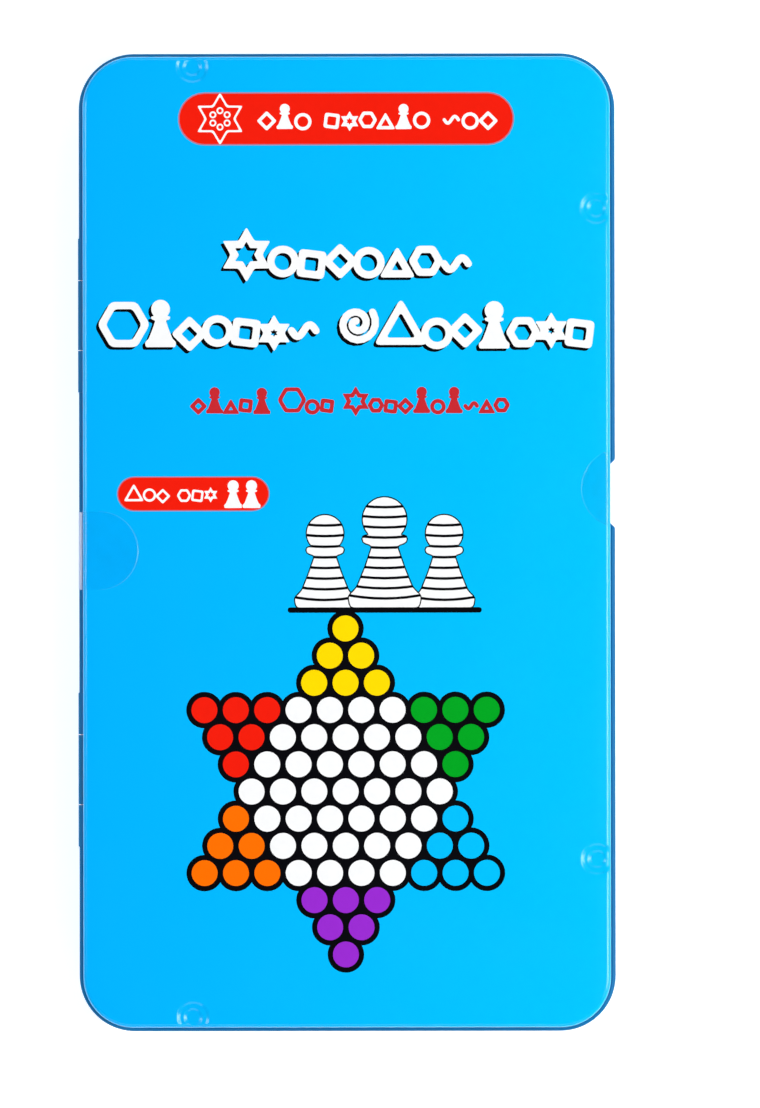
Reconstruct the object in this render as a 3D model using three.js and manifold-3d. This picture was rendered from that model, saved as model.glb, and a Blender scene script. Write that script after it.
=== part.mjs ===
// Pocket travel game: a flat tinplate case, hinged along one long side, that holds a tray,
// a steel board printed with a star of cells, and magnetic playing discs.
//
// Units are millimetres and +Z is up. The case lies closed on its base, printed lid face up.
// X runs across the case, from the hinge (-X) to the opening edge (+X), and Y runs along it.
// The origin is the middle of the underside.

import * as THREE from "three";
import { mergeVertices } from "three/addons/utils/BufferGeometryUtils.js";
import Module from "manifold-3d";

const wasm = await Module();
wasm.setup();

// ---- Driving dimensions -------------------------------------------------------------

const SHEET = 0.4; // tinplate of the lid and the base
const FIT_GAP = 0.45; // between the lid's skirt and the base's wall
const CASE_HEIGHT = 15;

const LID_HALF_X = 41.65;
const LID_HALF_Y = 76.65;
const LID_CORNER = 7.95;
const LID_EDGE_BEND = 0.7;
const SEAM_Z = 7.5; // where the lid's skirt ends, and the height of the hinge axis

const BEAD_RADIUS = 0.5; // the lid's rolled edge
const BEAD_OUT = 0.85; // how far the bead stands out from the skirt
const BEAD_ROUNDNESS = 0.98; // part of the bead's half height that is rounded
const SKIRT_SKIN = 0.05; // left outside the skirt where the bead is cut away

const BASE_BEND = 1.5; // around the bottom of the base
const RIM_TOP = 14;
const RIM_ROLL = 1.1; // diameter of the base's edge, rolled inwards
const RIM_ROUND = RIM_ROLL * 0.45; // edge radius of the rolled rim

// Stops pressed into the lid's face. They rest on the base's rim.
const PIP_DEPTH = 0.5;
const PIP_RADIUS = 2.2;
const PIP_CENTRES = [
  [-24.3, 75.3],
  [-24.3, -75.3],
  [39.8, 52.6],
  [39.8, -50.1],
];

// Thumb notch in the bead, on the opening edge
const NOTCH_Y = 7.65;
const NOTCH_HALF = 5.5;
const NOTCH_TAPER = 1.1;

// Hinge: two stations of three knuckles on a wire pin
const HINGE_X = -41.9;
const STATION_YS = { upper: 36, lower: -36 };
const KNUCKLE_RADIUS = 0.75;
const BORE_RADIUS = 0.45;
const PIN_RADIUS = 0.4;
const LID_KNUCKLE = 6;
const BASE_KNUCKLE = 11;
const KNUCKLE_GAP = 0.3;
const CRIMP = 0.5; // closed outer end of a lid knuckle, which keeps the pin in
const TAB_SHEET = 0.4;
const WINDOW_HEADROOM = 0.4; // between the base knuckle and the lid's skirt above it

// Tray
const TRAY_SHEET = 0.6;
const TRAY_HALF_X = 39.5;
const TRAY_HALF_Y = 74.5;
const TRAY_CORNER = 6.4;
const TRAY_TOP = 9;
const TRAY_FOOT = 0.45;
const RECESS_FLOOR = 7.95;
const RECESS_MARGIN = 0.25; // round the board
const WELL_FLOOR = 1.05;
const WELL_HALF_X = 37;
const WELL_HALF_Y = 23;
const WELL_Y = 48.5;
const WELL_CORNER = 4;

// Board and discs
const BOARD_SHEET = 0.4;
const BOARD_HALF_X = 38;
const BOARD_HALF_Y = 44.5;
const BOARD_Y = -27.5;
const BOARD_CORNER = 3;
const BOARD_GAP = 0.03; // above the recess's floor
const BOARD_TOP = RECESS_FLOOR + BOARD_GAP + BOARD_SHEET;
const CELL_PITCH = 7.6;
const DISC_RADIUS = 3.1;
const DISC_HEIGHT = 1.6;
const DISC_CHAMFER = 0.2;
const DISC_GAP = 0.04; // above the board
const STAR_ROWS = [1, 2, 3, 10, 9, 8, 7, 8, 9, 10, 3, 2, 1];

// Folded rules leaflet in the tray's well
const LEAFLET_HALF_X = 33;
const LEAFLET_HALF_Y = 20;
const LEAFLET_HEIGHT = 0.6;
const LEAFLET_CORNER = 0.4;
const LEAFLET_ROUND = 0.2;
const LEAFLET_GAP = 0.05; // above the well's floor

// Clear film seals across the seam, slit at the seam
const FILM = 0.12;
const FILM_GAP = 0.02;
const SEAL_HALF = 6.15;
const SPINE_SEAL = { y: -1.35, innerX: -32.8, side: -1 };
const FRONT_SEAL = { y: 8.4, innerX: 37, side: 1 };

// ---- Finishes -----------------------------------------------------------------------

const finish = (color, roughness, metalness = 0) =>
  new THREE.MeshStandardMaterial({ color, roughness, metalness });

const PRINTED_TIN = finish(0x00beff, 0.25, 0.3);
const STEEL_WIRE = finish(0xb9bcc0, 0.3, 1);
const WHITE_PLASTIC = finish(0xf1f2f0, 0.4);
const PRINTED_BOARD = finish(0x10a6e0, 0.35);
const PAPER = finish(0xf4f1e6, 0.9);
const CLEAR_FILM = finish(0xdfe9f2, 0.1);
const DISC_COLOURS = {
  yellow: 0xffee00,
  red: 0xfa1e0a,
  green: 0x00a523,
  orange: 0xff7300,
  blue: 0x1e5ad2,
  purple: 0x9b2dd2,
};

// ---- Shapes and booleans ------------------------------------------------------------

const CORNER_SEGMENTS = 4; // each quarter circle gets twice this many chords
const KNUCKLE_SIDES = 16;
const DISC_SIDES = 16;
const BALL_SEGMENTS = [24, 32];
const REACH = 200; // longer than the case, for cutting tools
const OVERCUT = 1; // how far a cutting tool passes beyond what it cuts

// A closed geometry as a manifold solid.
function solid(geometry) {
  const bare = new THREE.BufferGeometry();
  bare.setAttribute("position", geometry.getAttribute("position"));
  bare.setIndex(geometry.getIndex());
  const merged = mergeVertices(bare, 1e-4);
  const mesh = new wasm.Mesh({
    numProp: 3,
    vertProperties: new Float32Array(merged.attributes.position.array),
    triVerts: new Uint32Array(merged.index.array),
  });
  return new wasm.Manifold(mesh);
}

// A manifold solid as a named mesh.
function piece(name, body, material) {
  const result = body.getMesh();
  const geometry = new THREE.BufferGeometry();
  geometry.setAttribute("position", new THREE.BufferAttribute(result.vertProperties, 3));
  geometry.setIndex(new THREE.BufferAttribute(result.triVerts, 1));
  geometry.computeVertexNormals();
  const mesh = new THREE.Mesh(geometry, material);
  mesh.name = name;
  return mesh;
}

// A rectangle with round corners, centred on (x, y).
function roundedRect(halfX, halfY, corner, x = 0, y = 0, Kind = THREE.Shape) {
  const outline = new Kind();
  const quarter = Math.PI / 2;
  const inX = halfX - corner;
  const inY = halfY - corner;
  outline.absarc(x + inX, y + inY, corner, 0, quarter);
  outline.absarc(x - inX, y + inY, corner, quarter, 2 * quarter);
  outline.absarc(x - inX, y - inY, corner, 2 * quarter, 3 * quarter);
  outline.absarc(x + inX, y - inY, corner, 3 * quarter, 4 * quarter);
  return outline;
}

// A flat outline raised from low to high, with its top and bottom edges rounded.
function slab(outline, low, high, round = 0, roundSegments = 3) {
  const geometry = new THREE.ExtrudeGeometry(outline, {
    depth: high - low - 2 * round,
    bevelEnabled: round > 0,
    bevelThickness: round,
    bevelSize: round,
    bevelOffset: -round,
    bevelSegments: roundSegments,
    curveSegments: CORNER_SEGMENTS,
  });
  geometry.translate(0, 0, low + round);
  return solid(geometry);
}

function box(low, high) {
  const size = high.map((value, i) => value - low[i]);
  const geometry = new THREE.BoxGeometry(...size);
  geometry.translate(...low.map((value, i) => value + size[i] / 2));
  return solid(geometry);
}

// A round bar along Y on the hinge axis.
function hingeBar(radius, fromY, toY, sides) {
  const geometry = new THREE.CylinderGeometry(radius, radius, toY - fromY, sides);
  geometry.translate(HINGE_X, (fromY + toY) / 2, SEAM_Z);
  return solid(geometry);
}

function ball(radius, x, y, z) {
  const geometry = new THREE.SphereGeometry(radius, ...BALL_SEGMENTS);
  geometry.translate(x, y, z);
  return solid(geometry);
}

// ---- Lid ----------------------------------------------------------------------------

// The lid as a filled block, grown by the given margin all over: skirt, face and bead.
function lidBlock(margin) {
  const outline = roundedRect(LID_HALF_X + margin, LID_HALF_Y + margin, LID_CORNER + margin);
  const body = slab(outline, 0, CASE_HEIGHT + margin, LID_EDGE_BEND + margin);
  const below = box([-REACH, -REACH, -REACH], [REACH, REACH, SEAM_Z]);
  const out = BEAD_OUT + margin;
  const beadOutline = roundedRect(LID_HALF_X + out, LID_HALF_Y + out, LID_CORNER + out);
  const roll = BEAD_RADIUS + margin;
  const bead = slab(beadOutline, SEAM_Z - roll, SEAM_Z + roll, roll * BEAD_ROUNDNESS);
  return body.subtract(below).add(bead);
}

function lidCavity() {
  const outline = roundedRect(LID_HALF_X - SHEET, LID_HALF_Y - SHEET, LID_CORNER - SHEET);
  return slab(outline, -OVERCUT, CASE_HEIGHT - SHEET, LID_EDGE_BEND - SHEET);
}

// A stop is a shallow round dent outside, and the same sheet bulging down inside.
const PIP_BALL = (PIP_RADIUS ** 2 + PIP_DEPTH ** 2) / (2 * PIP_DEPTH);

function pressPips(shell) {
  const midSheet = lidBlock(-SHEET / 2);
  for (const [x, y] of PIP_CENTRES) {
    const z = CASE_HEIGHT - PIP_DEPTH + PIP_BALL;
    const bulge = ball(PIP_BALL + SHEET, x, y, z).intersect(midSheet);
    const dent = ball(PIP_BALL, x, y, z);
    shell = shell.add(bulge).subtract(dent);
  }
  return shell;
}

// The bead is pressed flat against the skirt at the notch, with tapered ends.
function thumbNotch() {
  const skirtX = LID_HALF_X + SKIRT_SKIN;
  const outline = new THREE.Shape([
    new THREE.Vector2(skirtX, NOTCH_Y - NOTCH_HALF + NOTCH_TAPER),
    new THREE.Vector2(skirtX + BEAD_OUT, NOTCH_Y - NOTCH_HALF),
    new THREE.Vector2(skirtX + 2 * BEAD_OUT, NOTCH_Y - NOTCH_HALF),
    new THREE.Vector2(skirtX + 2 * BEAD_OUT, NOTCH_Y + NOTCH_HALF),
    new THREE.Vector2(skirtX + BEAD_OUT, NOTCH_Y + NOTCH_HALF),
    new THREE.Vector2(skirtX, NOTCH_Y + NOTCH_HALF - NOTCH_TAPER),
  ]);
  return slab(outline, SEAM_Z - OVERCUT, SEAM_Z + OVERCUT);
}

const STATION_HALF = BASE_KNUCKLE / 2 + KNUCKLE_GAP + LID_KNUCKLE;
const BORE_HALF = STATION_HALF - CRIMP;

// The bead stops at each hinge station and two lid knuckles take its place.
function hangLid(shell, stationY) {
  const skirtX = -LID_HALF_X - SKIRT_SKIN;
  const end = STATION_HALF + KNUCKLE_GAP;
  const noBead = box(
    [skirtX - 2 * BEAD_OUT, stationY - end, SEAM_Z - OVERCUT],
    [skirtX, stationY + end, SEAM_Z + OVERCUT],
  );
  const windowHalf = BASE_KNUCKLE / 2 + KNUCKLE_GAP;
  const window = box(
    [skirtX - OVERCUT, stationY - windowHalf, SEAM_Z - OVERCUT],
    [-LID_HALF_X + 2 * SHEET, stationY + windowHalf, SEAM_Z + KNUCKLE_RADIUS + WINDOW_HEADROOM],
  );
  const barrel = hingeBar(
    KNUCKLE_RADIUS,
    stationY - STATION_HALF,
    stationY + STATION_HALF,
    KNUCKLE_SIDES,
  );
  const bore = hingeBar(BORE_RADIUS, stationY - BORE_HALF, stationY + BORE_HALF, KNUCKLE_SIDES);
  return shell.subtract(noBead).add(barrel).subtract(window).subtract(bore);
}

function lidShell() {
  let shell = pressPips(lidBlock(0).subtract(lidCavity()));
  shell = shell.subtract(thumbNotch());
  for (const stationY of Object.values(STATION_YS)) shell = hangLid(shell, stationY);
  return shell;
}

// ---- Base ---------------------------------------------------------------------------

const BASE_HALF_X = LID_HALF_X - SHEET - FIT_GAP;
const BASE_HALF_Y = LID_HALF_Y - SHEET - FIT_GAP;
const BASE_CORNER = LID_CORNER - SHEET - FIT_GAP;

function baseBlock(margin) {
  const outline = roundedRect(BASE_HALF_X + margin, BASE_HALF_Y + margin, BASE_CORNER + margin);
  const rimMiddle = RIM_TOP - RIM_ROLL / 2;
  const above = box([-REACH, -REACH, rimMiddle], [REACH, REACH, REACH]);
  return slab(outline, -margin, REACH, BASE_BEND + margin).subtract(above);
}

function baseCavity() {
  const outline = roundedRect(BASE_HALF_X - SHEET, BASE_HALF_Y - SHEET, BASE_CORNER - SHEET);
  return slab(outline, SHEET, REACH, BASE_BEND - SHEET);
}

function rolledRim() {
  const ring = roundedRect(BASE_HALF_X, BASE_HALF_Y, BASE_CORNER);
  const inner = [BASE_HALF_X - RIM_ROLL, BASE_HALF_Y - RIM_ROLL, BASE_CORNER - RIM_ROLL];
  ring.holes.push(roundedRect(...inner, 0, 0, THREE.Path));
  return slab(ring, RIM_TOP - RIM_ROLL, RIM_TOP, RIM_ROUND);
}

// A base knuckle stands off the wall on a tab that passes through the lid's window.
function baseKnuckle(stationY) {
  const low = stationY - BASE_KNUCKLE / 2;
  const high = stationY + BASE_KNUCKLE / 2;
  const tabTop = SEAM_Z + KNUCKLE_RADIUS;
  const tab = box([HINGE_X, low, tabTop - TAB_SHEET], [-BASE_HALF_X + SHEET / 2, high, tabTop]);
  return hingeBar(KNUCKLE_RADIUS, low, high, KNUCKLE_SIDES).add(tab);
}

function baseShell() {
  let shell = baseBlock(0).subtract(baseCavity()).add(rolledRim());
  for (const stationY of Object.values(STATION_YS)) {
    const bore = hingeBar(BORE_RADIUS, stationY - BORE_HALF, stationY + BORE_HALF, KNUCKLE_SIDES);
    shell = shell.add(baseKnuckle(stationY)).subtract(bore);
  }
  return shell;
}

function hingePin(stationY) {
  const half = BORE_HALF - KNUCKLE_GAP / 2;
  return hingeBar(PIN_RADIUS, stationY - half, stationY + half, KNUCKLE_SIDES);
}

// ---- Tray, board and leaflet --------------------------------------------------------

// A pan sunk into the tray's top: its walls and floor, and the space inside them.
function sunkPan(halfX, halfY, corner, y, floor) {
  const outer = roundedRect(halfX + TRAY_SHEET, halfY + TRAY_SHEET, corner + TRAY_SHEET, 0, y);
  const inner = roundedRect(halfX, halfY, corner, 0, y);
  return {
    walls: slab(outer, floor - TRAY_SHEET, TRAY_TOP),
    space: slab(inner, floor, TRAY_TOP + OVERCUT),
  };
}

function insertTray() {
  const outline = roundedRect(TRAY_HALF_X, TRAY_HALF_Y, TRAY_CORNER);
  const inside = roundedRect(
    TRAY_HALF_X - TRAY_SHEET,
    TRAY_HALF_Y - TRAY_SHEET,
    TRAY_CORNER - TRAY_SHEET,
  );
  const skin = slab(outline, TRAY_FOOT, TRAY_TOP).subtract(
    slab(inside, TRAY_FOOT - OVERCUT, TRAY_TOP - TRAY_SHEET),
  );
  const recess = sunkPan(
    BOARD_HALF_X + RECESS_MARGIN,
    BOARD_HALF_Y + RECESS_MARGIN,
    BOARD_CORNER + RECESS_MARGIN,
    BOARD_Y,
    RECESS_FLOOR,
  );
  const well = sunkPan(WELL_HALF_X, WELL_HALF_Y, WELL_CORNER, WELL_Y, WELL_FLOOR);
  return skin.add(recess.walls).add(well.walls).subtract(recess.space).subtract(well.space);
}

function boardPanel() {
  const outline = roundedRect(BOARD_HALF_X, BOARD_HALF_Y, BOARD_CORNER, 0, BOARD_Y);
  return slab(outline, BOARD_TOP - BOARD_SHEET, BOARD_TOP);
}

function rulesLeaflet() {
  const outline = roundedRect(LEAFLET_HALF_X, LEAFLET_HALF_Y, LEAFLET_CORNER, 0, WELL_Y);
  const low = WELL_FLOOR + LEAFLET_GAP;
  return slab(outline, low, low + LEAFLET_HEIGHT, LEAFLET_ROUND, 1);
}

// ---- Discs --------------------------------------------------------------------------

// The colour of the star's cell in a row and place, or null for the open middle.
function cellColour(row, place) {
  if (row < 3) return "yellow";
  if (row > 9) return "purple";
  const homeCells = Math.abs(row - 6); // cells of each side point in this row
  if (homeCells === 0) return null;
  if (place < homeCells) return row < 6 ? "red" : "orange";
  if (place >= STAR_ROWS[row] - homeCells) return row < 6 ? "green" : "blue";
  return null;
}

function starCells() {
  const cells = [];
  const rowStep = (CELL_PITCH * Math.sqrt(3)) / 2;
  STAR_ROWS.forEach((count, row) => {
    for (let place = 0; place < count; place += 1) {
      const x = (place - (count - 1) / 2) * CELL_PITCH;
      const y = BOARD_Y + (6 - row) * rowStep;
      cells.push({ x, y, colour: cellColour(row, place) });
    }
  });
  return cells;
}

function disc() {
  const profile = [
    new THREE.Vector2(0, 0),
    new THREE.Vector2(DISC_RADIUS - DISC_CHAMFER, 0),
    new THREE.Vector2(DISC_RADIUS, DISC_CHAMFER),
    new THREE.Vector2(DISC_RADIUS, DISC_HEIGHT - DISC_CHAMFER),
    new THREE.Vector2(DISC_RADIUS - DISC_CHAMFER, DISC_HEIGHT),
    new THREE.Vector2(0, DISC_HEIGHT),
  ];
  const geometry = new THREE.LatheGeometry(profile, DISC_SIDES);
  geometry.rotateX(Math.PI / 2);
  return solid(geometry);
}

function playingDiscs() {
  const group = new THREE.Group();
  for (const [colour, hex] of Object.entries(DISC_COLOURS)) {
    const material = finish(hex, 0.4);
    const homes = starCells().filter((cell) => cell.colour === colour);
    homes.forEach((home, i) => {
      const mesh = piece(`disc_${colour}_${i + 1}`, disc(), material);
      mesh.position.set(home.x, home.y, BOARD_TOP + DISC_GAP);
      group.add(mesh);
    });
  }
  return group;
}

// ---- Seals --------------------------------------------------------------------------

// A tab's outline seen from above: square at the case's edge, round at its inner end.
function sealOutline({ y, innerX, side }) {
  const outline = new THREE.Shape();
  const turnX = innerX + side * SEAL_HALF;
  const edgeX = side * REACH;
  outline.moveTo(edgeX, y - SEAL_HALF);
  outline.lineTo(edgeX, y + SEAL_HALF);
  outline.absarc(turnX, y, SEAL_HALF, Math.PI / 2, -Math.PI / 2, side < 0);
  return outline;
}

// Film that follows a block's surface between two heights, inside a tab's outline.
function film(block, seal, low, high) {
  const skin = block(FILM_GAP + FILM).subtract(block(FILM_GAP));
  return skin.intersect(slab(sealOutline(seal), low, high));
}

const BEAD_TOP = SEAM_Z + BEAD_RADIUS + 0.3;
const SEAL_FOOT = 1.9;
const SEAL_SLIT = SEAM_Z - BEAD_RADIUS - 0.7;

// ---- Assembly -----------------------------------------------------------------------

const game = new THREE.Group();
game.add(piece("base_shell", baseShell(), PRINTED_TIN));
game.add(piece("lid_shell", lidShell(), PRINTED_TIN));
for (const [station, y] of Object.entries(STATION_YS)) {
  game.add(piece(`hinge_pin_${station}`, hingePin(y), STEEL_WIRE));
}
game.add(piece("insert_tray", insertTray(), WHITE_PLASTIC));
game.add(piece("board_panel", boardPanel(), PRINTED_BOARD));
game.add(piece("rules_leaflet", rulesLeaflet(), PAPER));
game.add(playingDiscs());
game.add(piece("seal_spine_lid", film(lidBlock, SPINE_SEAL, SEAM_Z, REACH), CLEAR_FILM));
game.add(piece("seal_spine_base", film(baseBlock, SPINE_SEAL, SEAL_FOOT, SEAL_SLIT), CLEAR_FILM));
game.add(piece("seal_front_lid", film(lidBlock, FRONT_SEAL, BEAD_TOP, REACH), CLEAR_FILM));
game.add(piece("seal_front_base", film(baseBlock, FRONT_SEAL, SEAL_FOOT, SEAL_SLIT), CLEAR_FILM));

export default game;
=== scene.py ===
"""Looks of a pocket star-board game in a flat hinged tin case.

Shapes are worked out in millimetres, in the CAD frame (+Z up, +Y along the case, hinge at -X),
and turned into metres when their mesh is made.
"""

import math

import bmesh
import bpy
import numpy as np
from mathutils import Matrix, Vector
from mathutils.geometry import delaunay_2d_cdt


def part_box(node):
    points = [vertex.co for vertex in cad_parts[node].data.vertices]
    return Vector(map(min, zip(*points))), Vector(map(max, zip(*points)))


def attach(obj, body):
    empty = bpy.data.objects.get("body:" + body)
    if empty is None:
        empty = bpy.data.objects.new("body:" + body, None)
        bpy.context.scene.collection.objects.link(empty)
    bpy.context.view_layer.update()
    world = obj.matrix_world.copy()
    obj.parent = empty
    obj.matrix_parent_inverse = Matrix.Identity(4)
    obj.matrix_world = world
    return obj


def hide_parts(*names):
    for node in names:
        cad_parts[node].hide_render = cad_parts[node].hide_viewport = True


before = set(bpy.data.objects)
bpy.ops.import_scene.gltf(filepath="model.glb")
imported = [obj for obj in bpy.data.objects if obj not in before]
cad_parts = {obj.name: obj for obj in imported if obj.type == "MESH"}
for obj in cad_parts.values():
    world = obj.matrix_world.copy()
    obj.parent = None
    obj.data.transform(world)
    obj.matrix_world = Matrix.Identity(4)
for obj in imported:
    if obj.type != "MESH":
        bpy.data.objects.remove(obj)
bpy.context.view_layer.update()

MM = 0.001


def box_mm(node):
    """Lowest and highest corner of a CAD node, in millimetres."""
    low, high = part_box(node)
    return np.array(low) / MM, np.array(high) / MM


# ---- Sizes, in millimetres ----

_, LID_HIGH = box_mm("lid_shell")
_, BASE_HIGH = box_mm("base_shell")
TRAY_LOW, TRAY_HIGH = box_mm("insert_tray")
BOARD_LOW, BOARD_HIGH = box_mm("board_panel")
LEAFLET_LOW, LEAFLET_HIGH = box_mm("rules_leaflet")
PIN_LOW, PIN_HIGH = box_mm("hinge_pin_upper")

SHEET = 0.3  # drawn tinplate

TOP = LID_HIGH[2]
BEAD_OUT = 0.85
LID_HALF = LID_HIGH[:2] - BEAD_OUT
LID_CORNER = 7.95
LID_BEND = 0.7
BEAD_RADIUS = 0.5
SEAM = 7.5

# the round stops pressed into the lid: outer radius, inner radius and drop of each step
PIP_STEPS = ((2.65, 2.0, 0.2), (1.6, 0.95, 0.2))
PIP_RADIUS = PIP_STEPS[0][0]
PIPS = ((-24.3, 75.0), (-24.3, -75.0), (39.5, 52.6), (39.5, -50.1))

# the thumb notch, where the bead is left out
NOTCH = (2.15, 13.15)
NOTCH_TAPER = 1.1

BASE_HALF = BASE_HIGH[:2]
BASE_CORNER = 7.1
BASE_BEND = 1.5
RIM_RADIUS = 0.55

HINGE_X = (PIN_LOW[0] + PIN_HIGH[0]) / 2
HINGE_Z = (PIN_LOW[2] + PIN_HIGH[2]) / 2
STATION_Y = (PIN_LOW[1] + PIN_HIGH[1]) / 2
STATIONS = (STATION_Y, -STATION_Y)
KNUCKLE_RADIUS = 0.75
KNUCKLE_SHEET = 0.28
BASE_KNUCKLE = 11
KNUCKLE_GAP = 0.1
WINDOW_HALF = BASE_KNUCKLE / 2 + KNUCKLE_GAP  # the lid's gap round the base's knuckle
WINDOW_TOP = 8.65
STATION_HALF = 12
STATION_END = STATION_HALF + KNUCKLE_GAP

# limit is how far to each side the star's black ground may reach
LID_STAR = {"centre": (-0.2, -39.4), "pitch": 4.95, "ring": 2.88, "cell": 2.05, "limit": LID_HALF[0]}
BOARD_STAR = {
    "centre": (0, (BOARD_LOW[1] + BOARD_HIGH[1]) / 2),
    "pitch": 7.6,
    "ring": 4.35,
    "cell": 3.3,
    "limit": BOARD_HIGH[0] - 0.4,
}
STAR_ROWS = (1, 2, 3, 10, 9, 8, 7, 8, 9, 10, 3, 2, 1)

# ---- Plane shapes ----


def arc(x, y, radius, start, end, count):
    """Points on an arc, angles in degrees."""
    angles = np.radians(np.linspace(start, end, count))
    return [(x + radius * math.cos(a), y + radius * math.sin(a)) for a in angles]


def circle(x, y, radius, count=32):
    """Points round a circle, with no point doubled."""
    return arc(x, y, radius, 0, 360 * (1 - 1 / count), count)


def regular(sides, turn=90, inner=None):
    """A regular polygon of unit radius, or a star when an inner radius is given."""
    points = []
    for i in range(sides):
        angle = math.radians(turn + 360 * i / sides)
        points.append((math.cos(angle), math.sin(angle)))
        if inner:
            angle += math.pi / sides
            points.append((inner * math.cos(angle), inner * math.sin(angle)))
    return points


def soften(points, radius, steps=4):
    """Rounds every corner of a polygon with a quadratic curve."""
    result = []
    count = len(points)
    for i, point in enumerate(points):
        corner = np.array(point, float)
        before = np.array(points[i - 1], float) - corner
        after = np.array(points[(i + 1) % count], float) - corner
        cut_before = min(radius, np.linalg.norm(before) * 0.48)
        cut_after = min(radius, np.linalg.norm(after) * 0.48)
        start = corner + before / np.linalg.norm(before) * cut_before
        end = corner + after / np.linalg.norm(after) * cut_after
        for t in np.linspace(0, 1, steps + 1):
            result.append(tuple((1 - t) ** 2 * start + 2 * t * (1 - t) * corner + t * t * end))
    return result


def placed(points, x, y, scale=1.0, turn=0.0):
    """Points turned by degrees, scaled and moved."""
    c = math.cos(math.radians(turn)) * scale
    s = math.sin(math.radians(turn)) * scale
    return [(x + c * px - s * py, y + s * px + c * py) for px, py in points]


def signed_area(points):
    """Twice the area of a polygon, positive when it runs anticlockwise."""
    x, y = np.array(points).T
    return np.sum(x * np.roll(y, -1) - y * np.roll(x, -1))


def grown(points, margin):
    """A polygon with every point pushed out along its normal."""
    p = np.array(points)
    tangent = np.roll(p, -1, 0) - np.roll(p, 1, 0)
    normal = np.stack([tangent[:, 1], -tangent[:, 0]], 1)
    normal /= np.linalg.norm(normal, axis=1)[:, None]
    return [tuple(q) for q in p + normal * margin * np.sign(signed_area(points))]


def hollowed(points, line):
    """The inner edge of a line of even width drawn inside an evenly shaped polygon."""
    p = np.array(points)
    middle = p.mean(0)
    edge = np.roll(p, -1, 0) - p
    arm = p - middle
    reach = np.abs(edge[:, 0] * arm[:, 1] - edge[:, 1] * arm[:, 0]) / np.linalg.norm(edge, axis=1)
    return [tuple(q) for q in middle + arm * (1 - line / reach.min())]


def capsule(x, y, half_length, half_height):
    """A bar with round ends, lying along X."""
    reach = half_length - half_height
    left = arc(x - reach, y, half_height, 90, 270, 14)
    return left + arc(x + reach, y, half_height, -90, 90, 14)


def pawn_outline():
    """A board-game pawn, one unit tall, standing on y = -0.5."""
    foot = [(0.31, -0.5), (0.33, -0.4), (0.25, -0.32)]
    stem = [(0.17, -0.12), (0.11, 0.06)]
    collar = [(0.2, 0.09), (0.2, 0.15)]
    right = foot + stem + collar
    head = arc(0, 0.3, 0.2, -48, 228, 16)
    left = [(-x, y) for x, y in reversed(right)]
    return right + head + left


def brushed(path, width):
    """The outline of a brush stroke of even width with round ends, drawn along a path."""
    p = np.array(path, float)
    direction = np.gradient(p, axis=0)
    direction /= np.linalg.norm(direction, axis=1)[:, None]
    side = np.stack([-direction[:, 1], direction[:, 0]], 1) * width / 2
    heading = [math.degrees(math.atan2(d[1], d[0])) for d in (direction[-1], direction[0])]
    right = [tuple(q) for q in p - side]
    left = [tuple(q) for q in (p + side)[::-1]]
    end = arc(*p[-1], width / 2, heading[0] - 90, heading[0] + 90, 7)[1:-1]
    start = arc(*p[0], width / 2, heading[1] + 90, heading[1] + 270, 7)[1:-1]
    return right + end + left + start


def wave_path():
    """One period of a wave, one unit long."""
    xs = np.linspace(-0.5, 0.5, 19)
    return [(x, 0.24 * math.sin(2 * math.pi * x)) for x in xs]


def spiral_path():
    """A spiral of nearly two turns, about one unit across."""
    points = []
    for t in np.linspace(0.3, 2.1, 32):
        angle = 2 * math.pi * t
        points.append((0.23 * t * math.cos(angle), 0.23 * t * math.sin(angle)))
    return points


# Closed symbols are drawn as outlines of even width, open ones as strokes; all one unit tall.
CLOSED_SYMBOLS = {
    "disc": circle(0, 0, 0.5, 28),
    "hexagon": soften(placed(regular(6, 0), 0, 0, 0.55), 0.1),
    "triangle": soften(placed(regular(3), 0, -0.12, 0.66), 0.14),
    "diamond": soften(placed(regular(4), 0, 0, 0.58), 0.12),
    "die": soften(placed(regular(4, 38), 0, 0, 0.62), 0.16),
    "star": soften(placed(regular(6, 90, 0.58), 0, 0, 0.58), 0.05, 3),
    "pawn": soften(pawn_outline(), 0.03, 2),
}
OPEN_SYMBOLS = {"wave": wave_path(), "spiral": spiral_path()}


class Artwork:
    """Printed shapes in painting order: polygon, ink, and what it is kept inside and outside of."""

    def __init__(self):
        self.shapes = []

    def add(self, points, ink=None, inside=None, outside=None):
        """Adds a shape and returns its number. Without ink it only marks out a region."""
        self.shapes.append((points, ink, inside, outside))
        return len(self.shapes) - 1

    def symbol(self, kind, x, y, size, ink, line):
        """Adds a symbol of one size, drawn with a line of one width. Pawns are filled."""
        if kind in OPEN_SYMBOLS:
            self.add(brushed(placed(OPEN_SYMBOLS[kind], x, y, size - line), line), ink)
            return
        outline = placed(CLOSED_SYMBOLS[kind], x, y, size)
        hole = self.add(hollowed(outline, line)) if kind != "pawn" else None
        self.add(outline, ink, outside=hole)

    def ink_of(self, holders):
        """The ink of the last shape that covers a spot, given the shapes around the spot."""
        for index in sorted(holders, reverse=True):
            _, ink, inside, outside = self.shapes[index]
            if ink is None or outside in holders:
                continue
            if inside is None or inside in holders:
                return ink
        return None


def cell_ink(row, place):
    """Ink of a cell in the printed star."""
    if row < 3:
        return "yellow"
    if row > 9:
        return "purple"
    home = abs(row - 6)
    if place < home:
        return "red" if row < 6 else "orange"
    if place >= STAR_ROWS[row] - home:
        return "green" if row < 6 else "ground"
    return "white"


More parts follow.
